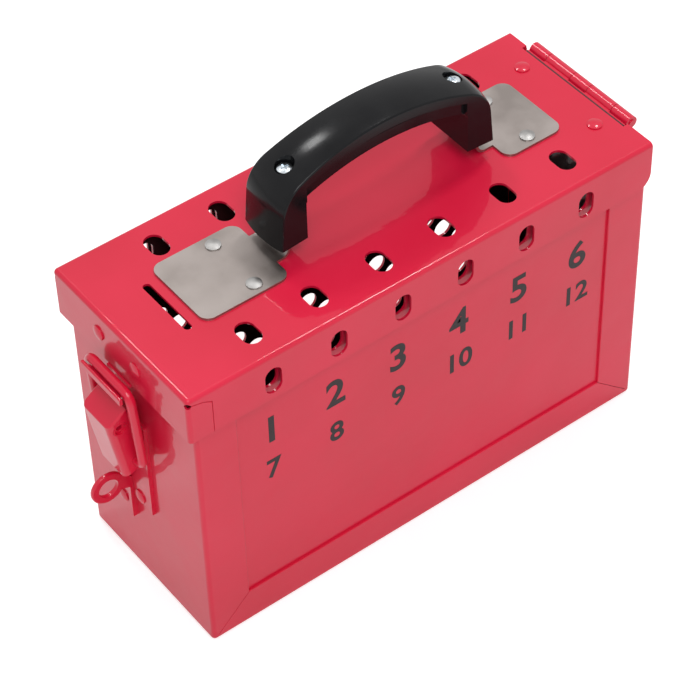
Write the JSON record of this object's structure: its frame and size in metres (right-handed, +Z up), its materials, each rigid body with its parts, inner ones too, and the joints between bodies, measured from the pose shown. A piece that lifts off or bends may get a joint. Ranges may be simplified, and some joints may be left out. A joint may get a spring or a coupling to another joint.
{
  "type": "group lockout box",
  "caption": "Red sheet steel group lockout box with a slotted lid on a pin hinge, a black arch carry handle and a toggle latch with a padlock eye",
  "frame": {"origin": "middle of the underside of the body, on the floor", "axes": "+X toward the hinge end, -X the latch end, -Y the front, +Z up"},
  "size_m": [0.2635, 0.0952, 0.2032],
  "materials": {
    "red_paint": "glossy red powder coat",
    "steel": "warm grey rolled stainless sheet",
    "rivet_grey": "satin aluminium rivet heads",
    "black_plastic": "smooth black moulded plastic",
    "screw_zinc": "bright zinc screws"
  },
  "bodies": {
    "box": {"body_wrap": "red_paint", "front_panel": "red_paint", "back_panel": "red_paint", "hinge_body_leaf": "red_paint", "hinge_pin": "red_paint", "body_leaf_rivets": "red_paint", "latch_base": "red_paint", "latch_base_rivets": "red_paint", "padlock_eye": "red_paint", "eye_rivet": "red_paint", "lever_pin": "red_paint"},
    "lid": {"lid_shell": "red_paint", "lid_catch": "red_paint", "catch_rivets": "red_paint", "hinge_lid_leaf": "red_paint", "lid_leaf_rivets": "red_paint", "handle_plate_left": "steel", "handle_plate_right": "steel", "plate_rivets": "rivet_grey", "handle_grip": "black_plastic", "handle_screws": "screw_zinc", "handle_nuts": "screw_zinc"},
    "lever": {"latch_lever": "red_paint"},
    "bail": {"bail_wire": "red_paint", "bail_lip": "red_paint"}
  },
  "joints": [
    {"name": "lid_swing", "type": "hinge", "parent": "box", "child": "lid", "pos_m": [0.12125, 0.00185, 0.1526], "axis": [0, 1, 0], "range_deg": [0, 180]},
    {"name": "lever_turn", "type": "hinge", "parent": "box", "child": "lever", "pos_m": [-0.13025, 0.002, 0.111], "axis": [0, 1, 0], "range_deg": [0, 100]},
    {"name": "bail_swing", "type": "hinge", "parent": "lever", "child": "bail", "pos_m": [-0.12435, 0.002, 0.0888], "axis": [0, 1, 0], "range_deg": [-125, 0]}
  ],
  "couplings": [
    {"joint": "bail_swing", "follows": "lever_turn", "ratio": -1.25}
  ]
}
